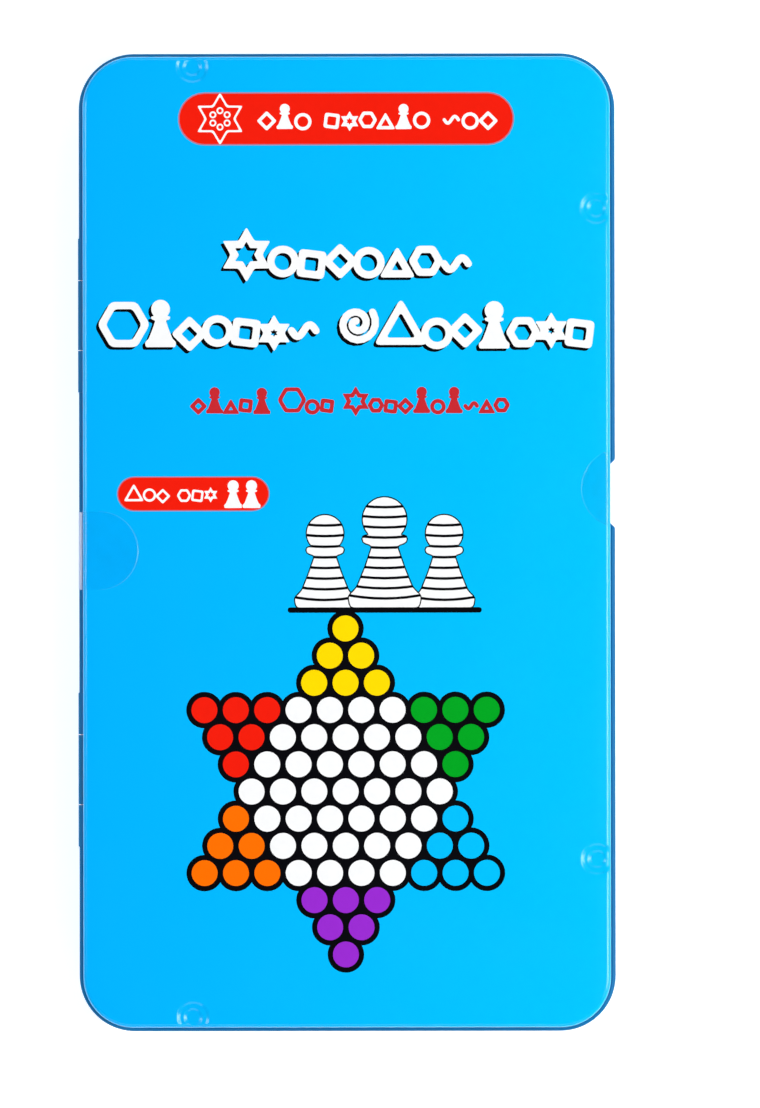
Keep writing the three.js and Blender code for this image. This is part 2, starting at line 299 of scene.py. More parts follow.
def star_cells(centre, pitch):
    """Place and ink of every cell of a star."""
    cells = []
    for row, count in enumerate(STAR_ROWS):
        y = centre[1] + (6 - row) * pitch * math.sqrt(3) / 2
        for place in range(count):
            x = centre[0] + (place - (count - 1) / 2) * pitch
            cells.append((x, y, cell_ink(row, place)))
    return cells


def print_star(art, star):
    """The star of cells: black rings that run into one ground, then the coloured cells."""
    limit = star["limit"]
    cells = star_cells(star["centre"], star["pitch"])
    for x, y, _ in cells:
        ring = [(max(-limit, min(limit, px)), py) for px, py in circle(x, y, star["ring"])]
        art.add(ring, "black")
    for x, y, ink in cells:
        art.add(circle(x, y, star["cell"]), ink)


# Rows of printed symbols. Each word is a string of symbol marks; a capital mark is a tall one.
MARKS = {
    "o": "disc",
    "h": "hexagon",
    "t": "triangle",
    "d": "diamond",
    "g": "die",
    "s": "star",
    "p": "pawn",
    "w": "wave",
    "c": "spiral",
}
TITLE_UPPER = "Sogdothw"
TITLE_LOWER = "HPdogsw CTodPhsg"
SLOGAN = "dPtgP Hog ShgdPoPwth"
BANNER = "dPo gshtPo wod"
BADGE = "Tod hgs"
WIDTH_OF = {"pawn": 0.7, "wave": 1.1}  # in sizes, where it isn't 1
WORD_SPACE = 0.6
HOP = 0.05  # how far, in sizes, symbols stand off the baseline, as hand lettering does
SHADOW = (-0.45, -0.42)  # the title's drop shadow


def print_row(art, words, x_range, baseline, size, line, ink, tall=1.5, shadow=False):
    """A row of symbols on a baseline, spread over a stretch of the lid."""
    sizes = []
    widths = []
    for mark in words:
        kind = MARKS.get(mark.lower())
        sizes.append(size * tall if mark.isupper() else size)
        widths.append(sizes[-1] * (WIDTH_OF.get(kind, 1) if kind else WORD_SPACE))
    gap = (x_range[1] - x_range[0] - sum(widths)) / (len(words) - 1)
    spots = []
    x = x_range[0]
    for i, mark in enumerate(words):
        kind = MARKS.get(mark.lower())
        if kind:
            y = baseline + sizes[i] / 2 + HOP * size * math.sin(2.4 * i)
            spots.append((kind, x + widths[i] / 2, y, sizes[i]))
        x += widths[i] + gap
    if shadow:
        for kind, cx, cy, height in spots:
            art.symbol(kind, cx + SHADOW[0], cy + SHADOW[1], height, "black", line)
    for kind, cx, cy, height in spots:
        art.symbol(kind, cx, cy, height, ink, line)


def print_pill(art, x, y, half_length, half_height, edge):
    """A red bar with round ends and a dull edge."""
    art.add(capsule(x, y, half_length, half_height), "banner_edge")
    art.add(capsule(x, y, half_length - edge, half_height - edge), "red")


BANNER_Y = 66.8
EMBLEM_X = -19.9


def print_banner(art):
    """The red banner at the head of the lid, with a line-drawn star and a row of symbols."""
    print_pill(art, 0, BANNER_Y, 26.55, 4.2, 0.22)
    art.symbol("star", EMBLEM_X, BANNER_Y, 7.2, "white", 0.32)
    for i in range(6):
        spot = placed([(0, 1.3)], EMBLEM_X, BANNER_Y, 1, 60 * i)[0]
        art.symbol("disc", *spot, 1.1, "white", 0.26)
    print_row(art, BANNER, (-13.9, 23.8), 65.1, 2.75, 0.52, "white", tall=1.45)


def print_badge(art):
    """The small red badge with symbols and two white player pawns."""
    print_pill(art, -24.2, 7.6, 12.05, 2.75, 0.18)
    print_row(art, BADGE, (-35.0, -20.4), 6.3, 2.1, 0.36, "white", tall=1.35)
    for x in (-17.9, -15.0):
        figure = placed(CLOSED_SYMBOLS["pawn"], x, 7.55, 4.4)
        art.add(grown(figure, 0.12), "red")
        art.add(figure, "white")


PLANK_X = (-9.3, 21.3)
PLANK_Y = -10.35
PLANK_THICK = 0.85
STRIPED_PAWNS = ((-3.4, 14.6), (15.4, 14.6), (6.0, 17.4))  # place and height, back to front
STRIPE_STEP = 1.75
STRIPE_LINE = 0.42


def print_striped_pawns(art):
    """Three striped pawns on a plank that lies across the star's top cell."""
    left, right = PLANK_X
    under = PLANK_Y - PLANK_THICK
    plank = [(left, under), (right, under), (right, PLANK_Y), (left, PLANK_Y)]
    art.add(soften(plank, 0.4), "black")
    for x, height in STRIPED_PAWNS:
        y = PLANK_Y + height / 2
        body = placed(CLOSED_SYMBOLS["pawn"], x, y, height)
        art.add(grown(body, 0.2), "black")
        fill = art.add(body, "white")
        count = round(height / STRIPE_STEP)
        for i in range(count):
            level = -0.42 + 0.92 * i / count
            path = [(u, level + 0.28 * u * u) for u in np.linspace(-0.4, 0.4, 9)]
            art.add(brushed(placed(path, x, y, height), STRIPE_LINE), "black", fill)


TITLE_SIZE = 5.0
TITLE_LINE = 1.15


def lid_artwork():
    art = Artwork()
    print_banner(art)
    print_row(art, TITLE_UPPER, (-19.5, 20.1), 41.6, TITLE_SIZE, TITLE_LINE, "white", shadow=True)
    print_row(art, TITLE_LOWER, (-38.9, 39.3), 30.6, TITLE_SIZE, TITLE_LINE, "white", shadow=True)
    print_row(art, SLOGAN, (-24.6, 25.7), 20.2, 2.45, 0.62, "dark_red", tall=1.7)
    print_badge(art)
    print_star(art, LID_STAR)
    print_striped_pawns(art)
    return art


def board_artwork():
    art = Artwork()
    print_star(art, BOARD_STAR)
    return art


# ---- Outlines that a sheet's edge runs along ----


class Outline:
    """Points and outward normals round a rectangle with round corners, anticlockwise.

    extra gives, per side, places along that side that need points of their own.
    """

    def __init__(self, half, corner, spacing, centre=(0, 0), extra=None, corner_steps=20):
        extra = extra or {}
        inner = np.array(half) - corner
        points = []
        normals = []
        # each side's name and outward normal, and the signs of the corner that follows it
        sides = (
            ("right", (1, 0), (1, 1)),
            ("top", (0, 1), (-1, 1)),
            ("left", (-1, 0), (-1, -1)),
            ("bottom", (0, -1), (1, -1)),
        )
        for index, (name, normal, signs) in enumerate(sides):
            along = 1 if name in ("right", "left") else 0
            forward = name in ("right", "bottom")
            reach = inner[along]
            count = max(2, math.ceil(2 * reach / spacing))
            spots = set(np.round(np.linspace(-reach, reach, count + 1), 4))
            spots |= {round(v, 4) for v in extra.get(name, ()) if abs(v) < reach}
            for spot in sorted(spots, reverse=not forward):
                point = [0.0, 0.0]
                point[along] = spot
                point[1 - along] = (inner[1 - along] + corner) * normal[1 - along]
                points.append(point)
                normals.append(normal)
            corner_x, corner_y = inner * signs
            for step in range(1, corner_steps):
                angle = math.pi / 2 * (index + step / corner_steps)
                direction = (math.cos(angle), math.sin(angle))
                points.append((corner_x + corner * direction[0], corner_y + corner * direction[1]))
                normals.append(direction)
        self.points = np.array(points, float) + np.array(centre, float)
        self.normals = np.array(normals, float)

    def ring(self, offset, z):
        """The outline moved outwards by offset and set at height z; each may vary by point."""
        count = len(self.points)
        offset = np.broadcast_to(np.asarray(offset, float), (count,))
        z = np.broadcast_to(np.asarray(z, float), (count,))
        flat = self.points + self.normals * offset[:, None]
        return np.column_stack([flat, z])


def bend(outline, offset, z, radius, start, end, count):
    """Rings round a bend about a line at offset and z; angles in degrees, 0 outwards and 90 up."""
    rings = []
    for angle in np.radians(np.linspace(start, end, count)):
        rings.append(outline.ring(offset + radius * math.cos(angle), z + radius * math.sin(angle)))
    return rings


def smooth_step(value, low, high):
    """0 below low, 1 above high, and a smooth rise between them."""
    t = np.clip((value - low) / (high - low), 0, 1)
    return t * t * (3 - 2 * t)


def dense(centre, reach, step):
    """Evenly spaced places round a centre."""
    return np.arange(centre - reach, centre + reach + step / 2, step)


# ---- Mesh building ----


def new_object(name, data):
    """An object of the given data, linked into the scene."""
    result = bpy.data.objects.new(name, data)
    bpy.context.scene.collection.objects.link(result)
    return result


class Shell:
    """Collects faces, in millimetres, and makes one object of them."""

    def __init__(self, inks):
        self.inks = list(inks)
        self.points = []
        self.faces = []
        self.materials = []
        self.count = 0

    def add_points(self, points):
        start = self.count
        self.points.append(np.asarray(points, float))
        self.count += len(points)
        return start

    def add_face(self, face, ink):
        self.faces.append(tuple(face))
        self.materials.append(self.inks.index(ink))

    def loft(self, rings, inks, closed=True):
        """Joins rings of equal length by quads. inks gives one ink, or one for each gap."""
        if isinstance(inks, str):
            inks = [inks] * (len(rings) - 1)
        count = len(rings[0])
        starts = [self.add_points(ring) for ring in rings]
        last = count if closed else count - 1
        for gap, ink in enumerate(inks):
            a, b = starts[gap], starts[gap + 1]
            for i in range(last):
                j = (i + 1) % count
                self.add_face((a + i, b + i, b + j, a + j), ink)

    def cap(self, ring, ink, flip=False):
        """Closes a ring with one face."""
        start = self.add_points(ring)
        order = range(start, start + len(ring))
        self.add_face(reversed(order) if flip else order, ink)

    def fill(self, boundary, ink, art=None, spots=(), holes=(), flip=False):
        """Fills a level ring with triangles, coloured by the artwork printed on it."""
        z = boundary[0][2]
        polygons = [ring[:, :2].tolist() for ring in (boundary, *holes)]
        art_start = len(polygons)
        if art:
            polygons += [shape[0] for shape in art.shapes]
        coords = []
        loops = []
        for polygon in polygons:
            loop = list(range(len(coords), len(coords) + len(polygon)))
            loops.append(loop if signed_area(polygon) > 0 else loop[::-1])
            coords += [Vector((p[0], p[1])) for p in polygon]
        coords += [Vector(spot) for spot in spots]
        verts, _, faces, _, _, owners = delaunay_2d_cdt(coords, [], loops, 1, 1e-5)
        start = self.add_points([(v.x, v.y, z) for v in verts])
        for face, holders in zip(faces, owners):
            if 0 not in holders or any(0 < h < art_start for h in holders):
                continue
            printed = {h - art_start for h in holders if h >= art_start}
            face_ink = (art.ink_of(printed) if art and printed else None) or ink
            corners = [start + i for i in face]
            self.add_face(reversed(corners) if flip else corners, face_ink)

    def build(self, name, materials, sharp=40.0, change=None):
        """Makes the object. change moves the points first; edges over the angle sharp stay crisp."""
        points = np.concatenate(self.points)
        if change:
            points = change(points)
        mesh = bpy.data.meshes.new(name)
        mesh.from_pydata((points * MM).tolist(), [], self.faces)
        mesh.polygons.foreach_set("material_index", self.materials)
        for ink in self.inks:
            mesh.materials.append(materials[ink])
        work = bmesh.new()
        work.from_mesh(mesh)
        bmesh.ops.remove_doubles(work, verts=work.verts, dist=0.004 * MM)
        bmesh.ops.dissolve_degenerate(work, dist=0.0005 * MM, edges=work.edges)
        bmesh.ops.recalc_face_normals(work, faces=work.faces)
        work.to_mesh(mesh)
        work.free()
        mesh.polygons.foreach_set("use_smooth", [True] * len(mesh.polygons))
        mesh.set_sharp_from_angle(angle=math.radians(sharp))
        return new_object(name, mesh)


def grid_spots(half, spacing, margin=2.0):
    """Loose points inside a rectangle, so that a wide face isn't all slivers."""
    xs = np.arange(-half[0] + margin, half[0] - margin / 2, spacing)
    ys = np.arange(-half[1] + margin, half[1] - margin / 2, spacing)
    spots = []
    for i, x in enumerate(xs):
        for j, y in enumerate(ys):
            # a slight skew keeps the points off the artwork's own straight lines
            spots.append((x + 0.013 * (i % 7), y + 0.017 * (j % 5)))
    return spots


# ---- Materials ----


class Nodes:
    """A small helper to build a node material around one Principled shader."""

    def __init__(self, name):
        self.material = bpy.data.materials.new(name)
        self.material.use_nodes = True
        self.tree = self.material.node_tree
        self.shader = self.tree.nodes["Principled BSDF"]
        self.place = self.add("ShaderNodeTexCoord").outputs["Object"]

    def add(self, kind, operation=None):
        node = self.tree.nodes.new(kind)
        if operation:
            node.operation = operation
        return node

    def link(self, source, target):
        self.tree.links.new(source, target)

    def set(self, **values):
        """Sets the shader's own sockets; an underscore stands for a space."""
        for key, value in values.items():
            self.shader.inputs[key.replace("_", " ")].default_value = value

    def noise(self, scale, detail=2.0, roughness=0.5, stretch=None):
        """Noise in the object's own space, with scale features to the metre."""
        place = self.place
        if stretch:
            mapping = self.add("ShaderNodeMapping")
            mapping.inputs["Scale"].default_value = stretch
            self.link(place, mapping.inputs["Vector"])
            place = mapping.outputs["Vector"]
        node = self.add("ShaderNodeTexNoise")
        node.inputs["Scale"].default_value = scale
        node.inputs["Detail"].default_value = detail
        node.inputs["Roughness"].default_value = roughness
        self.link(place, node.inputs["Vector"])
        return node.outputs["Fac"]

    def spread(self, source, low, high, from_low=0.3, from_high=0.7):
        """Stretches a value, by default a noise's usual range, to run from low to high."""
        node = self.add("ShaderNodeMapRange")
        node.inputs["From Min"].default_value = from_low
        node.inputs["From Max"].default_value = from_high
        node.inputs["To Min"].default_value = low
        node.inputs["To Max"].default_value = high
        self.link(source, node.inputs["Value"])
        return node.outputs["Result"]

    def mix(self, factor, a, b):
        node = self.add("ShaderNodeMix")
        node.data_type = "RGBA"
        # of the node's many sockets these are the factor, the two colours and the mixed colour
        for socket, value in ((node.inputs[0], factor), (node.inputs[6], a), (node.inputs[7], b)):
            if isinstance(value, bpy.types.NodeSocket):
                self.link(value, socket)
            else:
                socket.default_value = value
        return node.outputs[2]

    def bump(self, height, strength, distance, after=None):
        node = self.add("ShaderNodeBump")
        node.inputs["Strength"].default_value = strength
        node.inputs["Distance"].default_value = distance
        self.link(height, node.inputs["Height"])
        if after:
            self.link(after, node.inputs["Normal"])
        return node.outputs["Normal"]

    def colour(self, source):
        self.link(source, self.shader.inputs["Base Color"])

    def vary_colour(self, source, one, other):
        self.colour(self.mix(self.spread(source, 0, 1), one, other))

    def vary_roughness(self, source, low, high):
        self.link(self.spread(source, low, high), self.shader.inputs["Roughness"])

    def relief(self, normal):
        self.link(normal, self.shader.inputs["Normal"])


def shade(rgb, factor=1):
    """An RGBA colour, made lighter or darker."""
    return tuple(c * factor for c in rgb) + (1,)


def litho(name, rgb, shaded_side_rgb=None, gloss=0.18, varnish=0.24):
    """Printing ink under clear gloss varnish on tinplate. The optional side colour paints shade: the
    print darkens across X towards the hinge side.
    """
    n = Nodes(name)
    mottle = n.spread(n.noise(900, 3), 0.0, 1.0)
    base = n.mix(mottle, shade(rgb, 0.97), shade(rgb, 1.0))
    # painted shade: the colour runs towards the darker side colour across X, towards the hinge
    if shaded_side_rgb:
        axes = n.add("ShaderNodeSeparateXYZ")
        n.link(n.place, axes.inputs["Vector"])
        shade_across = n.spread(axes.outputs["X"], 1.0, 0.0, -0.042, 0.042)
        base = n.mix(shade_across, base, shade(shaded_side_rgb))
    n.colour(base)
    n.vary_roughness(n.noise(60, 4, 0.6), gloss, gloss + 0.06)
    sheet = n.bump(n.noise(38, 1, 0.4), 0.25, 0.00035)
    n.relief(n.bump(n.noise(1600, 2, 0.5), 0.12, 0.00001, after=sheet))
    n.set(Specular_IOR_Level=0.16, Coat_Weight=varnish, Coat_Roughness=0.06)
    return n.material


def bare_tin(name, rgb, roughness):
    """Plain tinplate under clear lacquer, with the sheet's rolling grain."""
    n = Nodes(name)
    n.vary_colour(n.noise(160, 3, 0.5, stretch=(9, 1, 9)), shade(rgb, 0.93), shade(rgb, 1.03))
    n.vary_roughness(n.noise(30, 2, 0.5), roughness, roughness + 0.06)
    n.relief(n.bump(n.noise(40, 1, 0.4), 0.2, 0.0003))
    n.set(Metallic=1.0)
    return n.material


def steel_wire(name):
    """Bright wire with fine lines drawn along it."""
    n = Nodes(name)
    drawn = n.noise(900, 4, 0.6, stretch=(1, 0.04, 1))
    n.vary_colour(drawn, (0.42, 0.42, 0.43, 1), (0.6, 0.6, 0.61, 1))
    n.vary_roughness(drawn, 0.2, 0.38)
    n.relief(n.bump(drawn, 0.3, 0.00001))
    n.set(Metallic=1.0)
    return n.material


def formed_plastic(name):
    """White styrene sheet, vacuum formed: satin with a faint mould texture."""
    n = Nodes(name)
    n.vary_colour(n.noise(55, 3), (0.78, 0.79, 0.77, 1), (0.86, 0.86, 0.85, 1))
    grain = n.noise(2600, 2, 0.6)
    n.vary_roughness(grain, 0.34, 0.46)
    n.relief(n.bump(grain, 0.18, 0.00002))
    n.set(Subsurface_Weight=0.08, Subsurface_Scale=0.001)
    return n.material


def vinyl(name, rgb):
    """Coloured vinyl face of a magnetic disc, lightly scuffed by play."""
    n = Nodes(name)
    n.vary_colour(n.noise(300, 3), shade(rgb, 0.93), shade(rgb))
    scuff = n.noise(700, 6, 0.7)
    n.vary_roughness(scuff, 0.26, 0.42)
    n.relief(n.bump(scuff, 0.1, 0.00001))
    return n.material


def magnet(name):
    """Cut edge of flexible magnet sheet: dark, fine grained."""
    n = Nodes(name)
    grain = n.noise(2400, 5, 0.7)
    n.vary_colour(grain, (0.018, 0.016, 0.015, 1), (0.05, 0.045, 0.042, 1))
    n.relief(n.bump(grain, 0.5, 0.00003))
    n.set(Roughness=0.7)
    return n.material


def paper(name, rgb):
    """Uncoated paper, bare or printed."""
    n = Nodes(name)
    fibre = n.noise(900, 6, 0.65)
    n.vary_colour(fibre, shade(rgb, 0.93), shade(rgb, 1.02))
    n.relief(n.bump(fibre, 0.3, 0.00002))
    n.set(Roughness=0.85, Specular_IOR_Level=0.25)
    return n.material


# the white band over the bead is partly a painted reflection, partly stress whitening
FILM_WHITE_BAND = (0.0064, 0.007, 0.0082, 0.0092)  # metres up, where the film starts and stops whitening


def clear_film(name, tint, body):
    """Clear adhesive film of a faint body. Over the bead it whitens: partly a painted reflection of the
    pale surroundings, partly stress whitening where it is stretched.
    """
    n = Nodes(name)
    low, full_low, full_high, high = FILM_WHITE_BAND
    axes = n.add("ShaderNodeSeparateXYZ")
    n.link(n.place, axes.inputs["Vector"])
    reflection_and_stretch = n.add("ShaderNodeMath", "MULTIPLY")
    n.link(n.spread(axes.outputs["Z"], 1.0, 0.0, full_high, high), reflection_and_stretch.inputs[0])
    n.link(n.spread(axes.outputs["Z"], 0.0, 1.0, low, full_low), reflection_and_stretch.inputs[1])
    whitened = reflection_and_stretch.outputs["Value"]
    n.colour(n.mix(whitened, shade(tint), (0.6, 0.7, 0.95, 1)))
    haze = n.noise(240, 4, 0.6)
    n.relief(n.bump(haze, 0.2, 0.00004))
    alpha = n.add("ShaderNodeMath", "MULTIPLY_ADD")
    n.link(whitened, alpha.inputs[0])
    alpha.inputs[1].default_value = 0.9 - body
    n.link(n.spread(haze, body, body + 0.03), alpha.inputs[2])
    n.link(alpha.outputs["Value"], n.shader.inputs["Alpha"])
    n.set(Roughness=0.09, Specular_IOR_Level=0.5)
    return n.material


# painted light: the floor's emission fills in the object's shadow
FLOOR_FILL_GLOW = (0.55, 0.8)  # emission beside the object and far from it
GLOW_REACH = (0.15, 0.9)  # metres from the object


def studio_floor(name):
    """A pale floor whose emission is painted light that lifts the object's shadow; it glows more away
    from the object.
    """
    n = Nodes(name)
    n.vary_colour(n.noise(6, 2), (0.93, 0.93, 0.93, 1), (0.95, 0.95, 0.95, 1))
    distance = n.add("ShaderNodeVectorMath", "LENGTH")
    n.link(n.place, distance.inputs[0])
    painted_glow = n.spread(distance.outputs["Value"], *FLOOR_FILL_GLOW, *GLOW_REACH)
    n.link(painted_glow, n.shader.inputs["Emission Strength"])
    n.set(Roughness=0.9, Specular_IOR_Level=0.1, Emission_Color=(1, 1, 1, 1))
    return n.material


INK_RGB = {
    "yellow": (1.0, 0.7, 0.0),
    "red": (0.88, 0.012, 0.003),
    "green": (0.0, 0.37, 0.015),
    "orange": (1.0, 0.16, 0.0),
    "purple": (0.31, 0.024, 0.62),
    "white": (0.93, 0.94, 0.95),
    "black": (0.0015, 0.0015, 0.003),
    "dark_red": (0.56, 0.022, 0.03),
    "banner_edge": (0.42, 0.2, 0.3),
}
GROUND_RGB = (0.0, 0.54, 0.96)
# painted shade: the ground print's darker colour on the hinge side
GROUND_SHADED_SIDE_RGB = (0.0, 0.43, 0.97)
HEM_SHADE_RGB = (0.0, 0.17, 0.4)  # painted shade: a darker blue print round the rolled bead and on the hinge knuckles, where the curled sheet falls into shade

INKS = {ink: litho("ink_" + ink, rgb) for ink, rgb in INK_RGB.items()}
INKS["ground"] = litho("ink_ground", GROUND_RGB, GROUND_SHADED_SIDE_RGB)
INKS["hem"] = litho("ink_hem_painted_shade", HEM_SHADE_RGB, gloss=0.4, varnish=0.0)
INKS["tin"] = bare_tin("bare_tinplate", (0.7, 0.71, 0.7), 0.32)
PRINT_INKS = tuple(INK_RGB) + ("ground", "hem", "tin")

# ---- Lid ----


PRESS_REACH = (1.5, 0.6)  # how far below the face the pressing starts, and where it is whole


def press_pips(points):
    """Presses the round stops into the sheet: two shallow steps with soft rims."""
    x, y, z = points.T
    near_face = smooth_step(z, TOP - PRESS_REACH[0], TOP - PRESS_REACH[1])
    for px, py in PIPS:
        distance = np.hypot(x - px, y - py)
        for outer, inner, drop in PIP_STEPS:
            z = z - drop * (1 - smooth_step(distance, inner, outer)) * near_face
    return np.column_stack([x, y, z])


def pip_spots(limit):
    """Rings of points round each stop, kept inside the face."""
    spots = []
    for px, py in PIPS:
        spots.append((px, py))
        for radius in np.linspace(0.5, PIP_RADIUS + 0.15, 21):
            for x, y in circle(px, py, radius, 12 + int(16 * radius)):
                if abs(x) < limit[0] - 0.1 and abs(y) < limit[1] - 0.1:
                    spots.append((x, y))
    return spots


STEP_BAND = 0.03  # half the stretch over which the bead stops beside a hinge station


def lid_outline():
    """The lid's outline, with points enough where its edge changes: hinge, notch and stops."""
    left = []
    for y in STATIONS:
        for edge in (WINDOW_HALF, STATION_END):
            for side in (-1, 1):
                left += [y + side * edge - 2 * STEP_BAND, y + side * edge + 2 * STEP_BAND]
    right = list(np.linspace(NOTCH[0] - 0.2, NOTCH[1] + 0.2, 30))
    ends = []
    for px, py in PIPS:
        if px > 0:
            right += list(dense(py, 3, 0.25))
        else:
            ends += list(dense(px, 3, 0.25))
    extra = {"left": left, "right": right, "top": ends, "bottom": ends}
    return Outline(LID_HALF, LID_CORNER, 1.4, extra=extra, corner_steps=24)


def bead_fullness(outline):
    """1 where the rolled bead is whole, 0 at the thumb notch and the hinge stations."""
    x, y = outline.points.T
    full = np.ones(len(x))
    rise = smooth_step(np.maximum(NOTCH[0] - y, y - NOTCH[1]), -NOTCH_TAPER, 0)
    full = np.where(x > LID_HALF[0] - 0.01, rise, full)
    for station in STATIONS:
        away = smooth_step(np.abs(y - station), STATION_END - STEP_BAND, STATION_END + STEP_BAND)
        full = np.where(x < 0.01 - LID_HALF[0], np.minimum(full, away), full)
    return full


def hem_height(outline):
    """Height of the skirt's lower edge where it has no bead: higher at the hinge windows."""
    x, y = outline.points.T
    hem = np.full(len(x), SEAM - 0.2)
    for station in STATIONS:
        window = (x < 0) & (np.abs(y - station) < WINDOW_HALF)
        hem = np.where(window, WINDOW_TOP + SHEET / 2, hem)
    return hem


def lid_rings(outline):
    """Rings from the face's edge, over the bend, down the skirt, round the bead and up inside."""
    full = bead_fullness(outline)
    hem = hem_height(outline)
    outer = bend(outline, -LID_BEND, TOP - LID_BEND, LID_BEND, 90, 0, 8)
    middle = SHEET / 2 + (BEAD_RADIUS - SHEET / 2) * full
    centre = -SHEET / 2 + (BEAD_OUT - BEAD_RADIUS + SHEET / 2) * full
    height = hem + (SEAM - hem) * full
    start = np.arccos(np.clip(-centre / middle, -1, 1))
    shoulder = height + middle * np.sin(start)
    for t in np.linspace(0.15, 0.92, 6):
        outer.append(outline.ring(0, (1 - t) * (TOP - LID_BEND) + t * shoulder))
    bead = []
    for t in np.linspace(0, 1, 18):
        angle = start + (-math.pi - start) * t
        bead.append(outline.ring(centre + middle * np.cos(angle), height + middle * np.sin(angle)))
    inner = []
    for t in (0.04, 0.3, 0.6, 0.85, 1):
        inner.append(outline.ring(-SHEET, (1 - t) * height + t * (TOP - LID_BEND)))
    inner += bend(outline, -LID_BEND, TOP - LID_BEND, LID_BEND - SHEET, 15, 90, 6)
    return outer, bead, inner


CURL_LIP = 0.06  # a narrow band at each end of a knuckle, which keeps its edge crisp


def curl(shell, y_from, y_to, start, end, ink, ends_ink):
    """A sheet curled round the hinge pin, between two angles in degrees."""
    outside = arc(HINGE_X, HINGE_Z, KNUCKLE_RADIUS, start, end, 26)
    inside = arc(HINGE_X, HINGE_Z, KNUCKLE_RADIUS - KNUCKLE_SHEET, end, start, 26)
    rings = []
    for y in (y_from, y_from + CURL_LIP, y_to - CURL_LIP, y_to):
        rings.append(np.array([(x, y, z) for x, z in outside + inside]))
    shell.loft(rings, ink)
    count = len(outside)
    for ring, flip in ((rings[0], False), (rings[-1], True)):
        first = shell.add_points(ring)
        for i in range(count - 1):
            quad = (first + i, first + i + 1, first + 2 * count - 2 - i, first + 2 * count - 1 - i)
            shell.add_face(reversed(quad) if flip else quad, ends_ink)


def build_lid():
    outline = lid_outline()
    outer, bead, inner = lid_rings(outline)
    shell = Shell(PRINT_INKS)
    rings = outer + bead + inner
    painted = 12  # the print runs two thirds of the way round the bead
    # the hem ink round the bead is painted shade
    inks = ["ground"] * (len(outer) - 1) + ["hem"] * painted
    inks += ["tin"] * (len(rings) - 1 - len(inks))
    shell.loft(rings, inks)
    face_half = LID_HALF - LID_BEND
    spots = grid_spots(face_half, 5.5) + pip_spots(face_half)
    shell.fill(outer[0], "ground", art=lid_artwork(), spots=spots)
    shell.fill(inner[-1], "tin", spots=spots, flip=True)
    # the knuckles are in the hem ink, with its painted shade
    for station in STATIONS:
        far = STATION_END + KNUCKLE_GAP
        curl(shell, station + WINDOW_HALF, station + far, 30, -292, "hem", "tin")
        curl(shell, station - far, station - WINDOW_HALF, 30, -292, "hem", "tin")
    lid = shell.build("lid_case", INKS, change=press_pips)
    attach(lid, "lid")
    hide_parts("lid_shell")


# ---- Base ----


def base_rings(outline):
    """Rings from under the base, up the wall, round the rolled rim and down inside."""
    outer = bend(outline, -BASE_BEND, BASE_BEND, BASE_BEND, -90, 0, 9)
    rim_z = BASE_HIGH[2] - RIM_RADIUS
    for t in (0.2, 0.5, 0.8, 0.97):
        outer.append(outline.ring(0, BASE_BEND + (rim_z - BASE_BEND) * t))
    rim = bend(outline, -RIM_RADIUS, rim_z, RIM_RADIUS, 0, 285, 18)
    inner = []
    for z in (rim_z - RIM_RADIUS - 0.1, 9, 5, BASE_BEND):
        inner.append(outline.ring(-SHEET, z))
    inner += bend(outline, -BASE_BEND, BASE_BEND, BASE_BEND - SHEET, -12, -90, 7)
    return outer, rim, inner


TAB_INTO_CURL = 0.04
TAB_INTO_WALL = 0.15


def hinge_tab(shell, station):
    """The base's knuckle: a tab that leaves the wall and curls round the pin."""
    low = station - BASE_KNUCKLE / 2
    high = station + BASE_KNUCKLE / 2
    top = HINGE_Z + KNUCKLE_RADIUS
    under = top - KNUCKLE_SHEET
    rings = []
    for x in (HINGE_X - TAB_INTO_CURL, -BASE_HALF[0] + TAB_INTO_WALL):
        rings.append(np.array([(x, low, under), (x, high, under), (x, high, top), (x, low, top)]))
    # the tab is in the hem ink, with its painted shade
    shell.loft(rings, "hem")
    shell.cap(rings[0], "hem")
    shell.cap(rings[1], "hem", flip=True)
    curl(shell, low, high, 90, 385, "hem", "tin")


def build_base():
    outline = Outline(BASE_HALF, BASE_CORNER, 2.5, corner_steps=24)
    outer, rim, inner = base_rings(outline)
    shell = Shell(("ground", "hem", "tin"))
    rings = outer + rim + inner
    inks = ["ground"] * (len(outer) + 3)  # the print ends on the rim
    inks += ["tin"] * (len(rings) - 1 - len(inks))
    shell.loft(rings, inks)
    spots = grid_spots(BASE_HALF - BASE_BEND, 7)
    shell.fill(outer[0], "ground", spots=spots, flip=True)
    shell.fill(inner[-1], "tin", spots=spots)
    for station in STATIONS:
        hinge_tab(shell, station)
    base = shell.build("base_case", INKS)
    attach(base, "base")
    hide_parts("base_shell")


PIN_END = ((0.0, 0.55), (0.1, 0.9), (0.25, 1.0))  # distance from the end, share of the radius


def build_pin(which, station, material):
    """A wire pin with peened ends."""
    shell = Shell(("wire",))
    radius, half_length = (PIN_HIGH[:2] - PIN_LOW[:2]) / 2
    steps = [(station - half_length + depth, share) for depth, share in PIN_END]
    steps += [(station + half_length - depth, share) for depth, share in reversed(PIN_END)]
    rings = []
    for y, share in steps:
        ring = [(x, y, z) for x, z in circle(HINGE_X, HINGE_Z, radius * share, 24)]
        rings.append(np.array(ring))
    shell.loft(rings, "wire")
    shell.cap(rings[0], "wire")
    shell.cap(rings[-1], "wire", flip=True)
    pin = shell.build("pin_" + which, {"wire": material})
    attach(pin, "base")
    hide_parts("hinge_pin_" + which)


# ---- Tray, board, discs and leaflet ----

